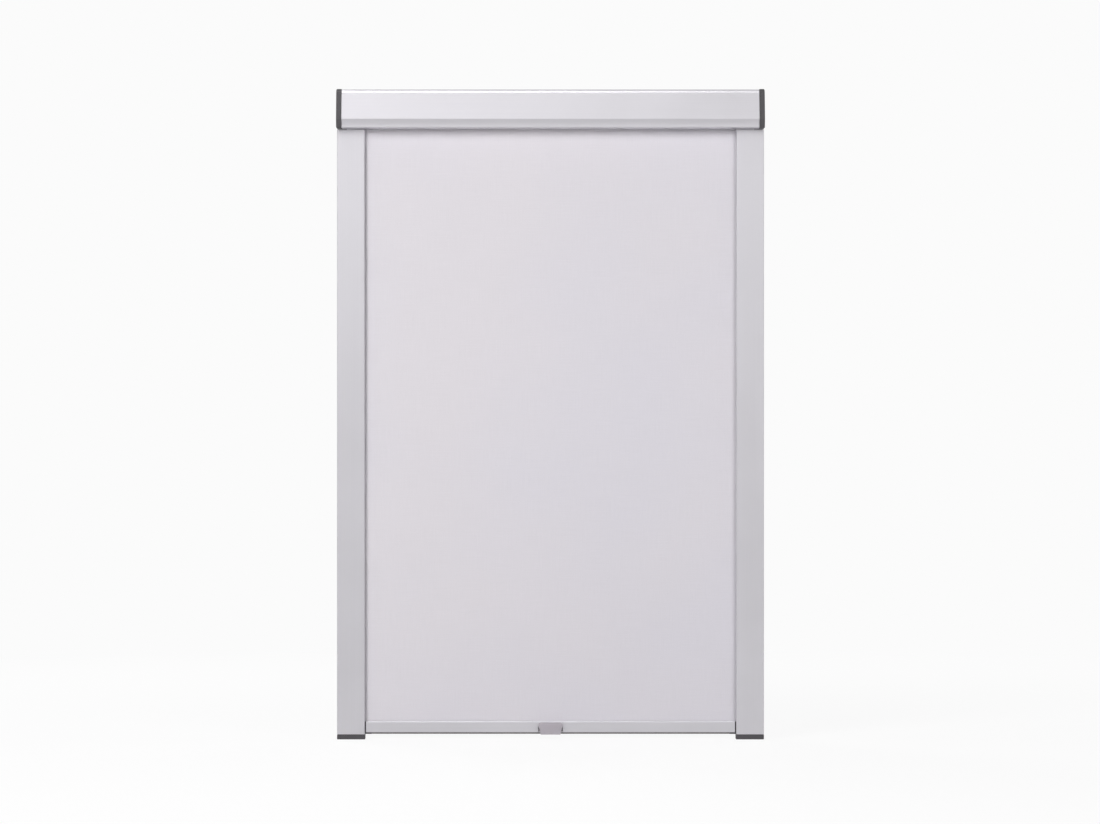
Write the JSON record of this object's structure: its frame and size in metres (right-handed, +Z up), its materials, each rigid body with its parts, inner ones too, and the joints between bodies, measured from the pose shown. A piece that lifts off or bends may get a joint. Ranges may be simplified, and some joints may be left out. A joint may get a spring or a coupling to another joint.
{
  "type": "skylight window blind",
  "caption": "Blackout roller blind for a roof window: spring roller in an aluminium headbox, side rails, and a bottom bar with a finger grip that slides in them.",
  "frame": {"origin": "middle of the headbox's upper rear lip, on the plane where the blind lies on the sash", "axes": "+X across the window, to the right as seen from the room; +Y away from the room, into the sash; +Z up along the rails"},
  "size_m": [0.613, 0.0475, 0.9326],
  "materials": {
    "silver_aluminium": "anodised, satin",
    "mill_aluminium": "plain extruded",
    "dark_plastic": "moulded, fine grain",
    "grey_plastic": "moulded, satin",
    "white_plastic": "moulded",
    "zinc_steel": "zinc plated",
    "spring_steel": "oiled",
    "blackout_cloth": "plain, coated at the back",
    "dark_rubber": "matt",
    "grey_pile": "short pile"
  },
  "bodies": {
    "frame": {"headbox_cover": "silver_aluminium", "headbox_back": "silver_aluminium", "slot_brush": "grey_pile", "end_cap_left": "dark_plastic", "sash_clip_left": "zinc_steel", "cap_screw_rear_left": "zinc_steel", "cap_screw_top_left": "zinc_steel", "cap_screw_front_left": "zinc_steel", "rail_left": "silver_aluminium", "rail_foot_left": "dark_plastic", "foot_screw_left": "zinc_steel", "end_cap_right": "dark_plastic", "sash_clip_right": "zinc_steel", "cap_screw_rear_right": "zinc_steel", "cap_screw_top_right": "zinc_steel", "cap_screw_front_right": "zinc_steel", "rail_right": "silver_aluminium", "rail_foot_right": "dark_plastic", "foot_screw_right": "zinc_steel", "spring_rod": "zinc_steel", "spring_anchor": "white_plastic", "torsion_spring": "spring_steel", "rod_retainer": "spring_steel", "idle_pin": "zinc_steel", "fabric_panel": "blackout_cloth"},
    "roller": {"roller_tube": "mill_aluminium", "tube_keder": "white_plastic", "spring_end_plug": "white_plastic", "drive_plug": "white_plastic", "idle_end_plug": "white_plastic", "fabric_roll": "blackout_cloth"},
    "bottom_bar": {"bar_profile": "silver_aluminium", "bar_keder": "white_plastic", "bar_seal": "dark_rubber", "finger_grip": "grey_plastic", "glide_left": "dark_plastic", "brake_pad_left": "grey_pile", "brake_spring_left": "spring_steel", "glide_right": "dark_plastic", "brake_pad_right": "grey_pile", "brake_spring_right": "spring_steel"}
  },
  "joints": [
    {"name": "bar_slide", "type": "slide", "parent": "frame", "child": "bottom_bar", "axis": [0, 0, 1], "range_m": [0, 0.845], "deforming": ["fabric_panel"]},
    {"name": "roller_spin", "type": "hinge", "parent": "frame", "child": "roller", "pos_m": [0, -0.0246, -0.0232], "axis": [1, 0, 0], "range_deg": [0, 3150]}
  ],
  "couplings": [
    {"joint": "roller_spin", "follows": "bar_slide", "rad_per_m": 65}
  ]
}
